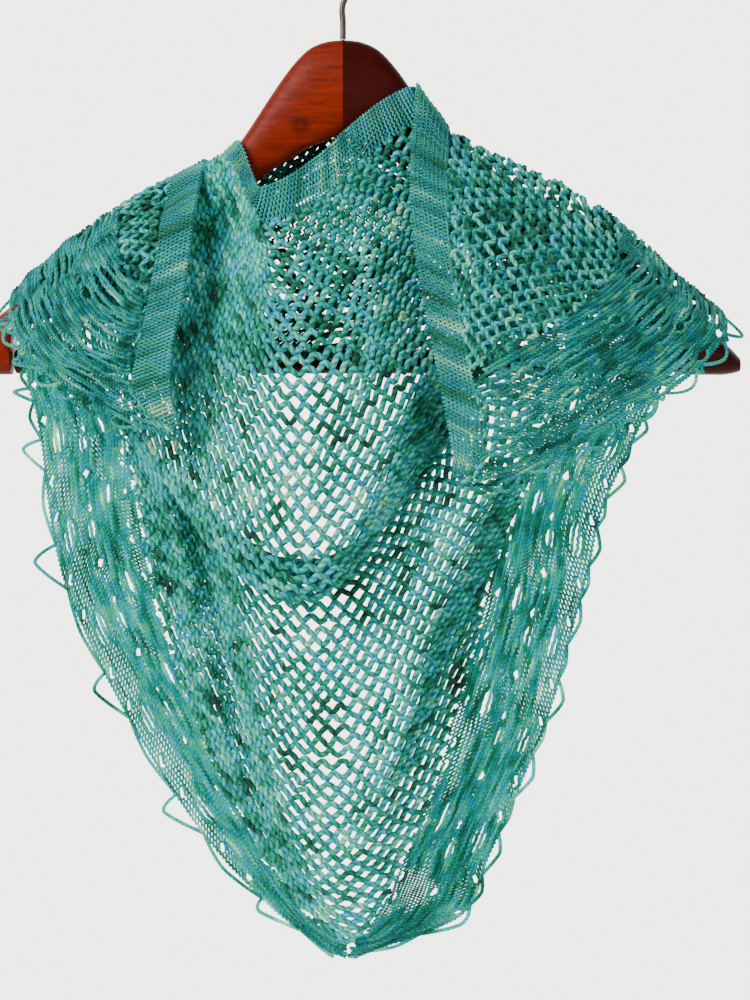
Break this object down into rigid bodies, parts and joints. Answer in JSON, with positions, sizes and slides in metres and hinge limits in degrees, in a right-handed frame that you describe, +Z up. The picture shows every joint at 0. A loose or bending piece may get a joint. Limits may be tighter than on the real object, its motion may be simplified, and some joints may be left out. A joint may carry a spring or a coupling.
{
  "type": "knitted lace shawl on a wooden clothes hanger",
  "caption": "Triangular hand-knitted lace shawl with a leaf border and looped edge, worn kerchief-wise on a contoured wooden hanger with a trouser bar.",
  "frame": {"origin": "the inside top of the hook, where a rail carries the hanger", "axes": "+Z up, the front of the shawl faces -Y, +X to the right as seen from the front"},
  "size_m": [0.452, 0.1266, 0.588],
  "materials": {
    "knit_band": "soft matt, space-dyed stripes",
    "knit_mesh": "soft matt, space-dyed",
    "knit_lace": "soft matt, space-dyed",
    "varnished_beech": "red-brown satin varnish",
    "dark_steel": "blackened"
  },
  "bodies": {
    "root": {"front_band": "knit_band", "front_mesh": "knit_mesh", "front_lace_left": "knit_lace", "front_lace_right": "knit_lace", "wing_left_band": "knit_band", "wing_left_mesh": "knit_mesh", "wing_left_lace": "knit_lace", "wing_right_band": "knit_band", "wing_right_mesh": "knit_mesh", "wing_right_lace": "knit_lace", "back_upper_band": "knit_band", "back_upper_mesh": "knit_mesh", "back_upper_lace": "knit_lace", "back_lower_band": "knit_band", "back_lower_mesh": "knit_mesh", "back_lower_lace": "knit_lace", "hanger_arm_left": "varnished_beech", "hanger_arm_right": "varnished_beech", "hanger_bar": "varnished_beech", "hanger_hook": "dark_steel"}
  },
  "joints": []
}
